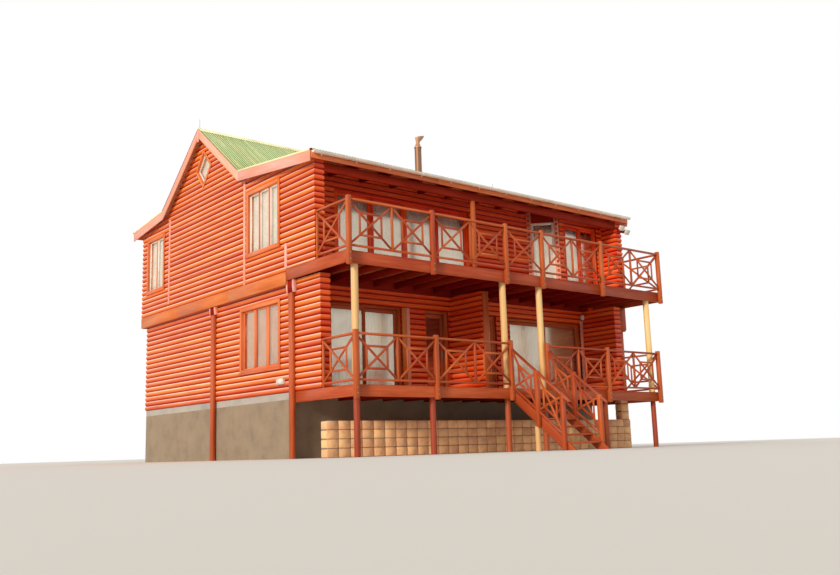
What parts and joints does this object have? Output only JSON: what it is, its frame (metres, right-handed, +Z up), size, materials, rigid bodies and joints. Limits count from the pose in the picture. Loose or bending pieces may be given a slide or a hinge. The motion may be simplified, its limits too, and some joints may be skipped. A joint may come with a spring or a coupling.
{
  "type": "two-storey holiday cottage",
  "caption": "Two-storey timber cottage with half-log walls, a deck and balcony with crossed rails, a garden stair, a broken-pitch roof and a flue; ground doors slide and swing.",
  "frame": {"origin": "on the ground under the middle of the front wall, on the foot of the foundation", "axes": "+X along the front to the right seen from the garden, +Y to the back, +Z up"},
  "size_m": [10.644, 12.474, 8.77],
  "materials": {
    "render": "painted plaster",
    "blocks": "sandy concrete blocks",
    "floor_boards": "sealed boards",
    "deck_boards": "oiled boards",
    "poles": "treated round timber",
    "logs": "glossy red-brown stain",
    "trim": "satin red-brown stain",
    "rails": "satin red-brown stain",
    "window_wood": "satin orange-red stain",
    "upper_door_wood": "satin red paint",
    "lower_door_wood": "satin brown stain",
    "glass": "clear",
    "roof_sheet": "green corrugated sheet",
    "gutter": "cream paint",
    "flue_metal": "heat-browned metal"
  },
  "bodies": {
    "house": {"back_belt": "trim", "back_lean": "roof_sheet", "back_pitch": "roof_sheet", "barge_boards": "trim", "bay_walls": "trim", "corbels": "trim", "deck_pier": "blocks", "eave_beam": "rails", "fascias": "trim", "fixed_door_glass": "glass", "flue": "flue_metal", "flue_cowl": "flue_metal", "foundation": "render", "front_lean": "roof_sheet", "front_pitch": "roof_sheet", "gable_boards": "trim", "ground_floor": "render", "gutters": "gutter", "lower_back_wall": "logs", "lower_balustrade": "rails", "lower_deck": "deck_boards", "lower_door_frames": "lower_door_wood", "lower_front_wall": "logs", "lower_left_wall": "logs", "lower_lintel": "logs", "lower_right_wall": "logs", "lower_side_rails": "rails", "middle_wing": "logs", "middle_wing_board": "trim", "poles": "poles", "rafters": "rails", "retaining_wall": "blocks", "ridge_cap": "roof_sheet", "short_posts": "poles", "side_belts": "trim", "stair_props": "rails", "stair_rails": "rails", "stair_stringers": "rails", "stair_treads": "rails", "upper_back_wall": "logs", "upper_balustrade": "rails", "upper_deck": "deck_boards", "upper_door_frames": "upper_door_wood", "upper_door_glass": "glass", "upper_floor": "floor_boards", "upper_front_wall": "logs", "upper_left_wall": "logs", "upper_lintel": "logs", "upper_right_wall": "logs", "upper_side_rails": "rails", "window_frames": "window_wood", "window_glass": "glass"},
    "left_slider": {"left_slider": "lower_door_wood", "left_slider_glass": "glass"},
    "right_slider": {"right_slider": "lower_door_wood", "right_slider_glass": "glass"},
    "garden_door": {"garden_door": "lower_door_wood", "garden_door_glass": "glass"}
  },
  "joints": [
    {"name": "left_slider_slide", "type": "slide", "parent": "house", "child": "left_slider", "axis": [-1, 0, 0], "range_m": [0, 0.95]},
    {"name": "right_slider_slide", "type": "slide", "parent": "house", "child": "right_slider", "axis": [1, 0, 0], "range_m": [0, 1.31]},
    {"name": "garden_door_hinge", "type": "hinge", "parent": "house", "child": "garden_door", "pos_m": [-1.167, 0.0793, 1.41], "axis": [0, 0, 1], "range_deg": [0, 90]}
  ]
}
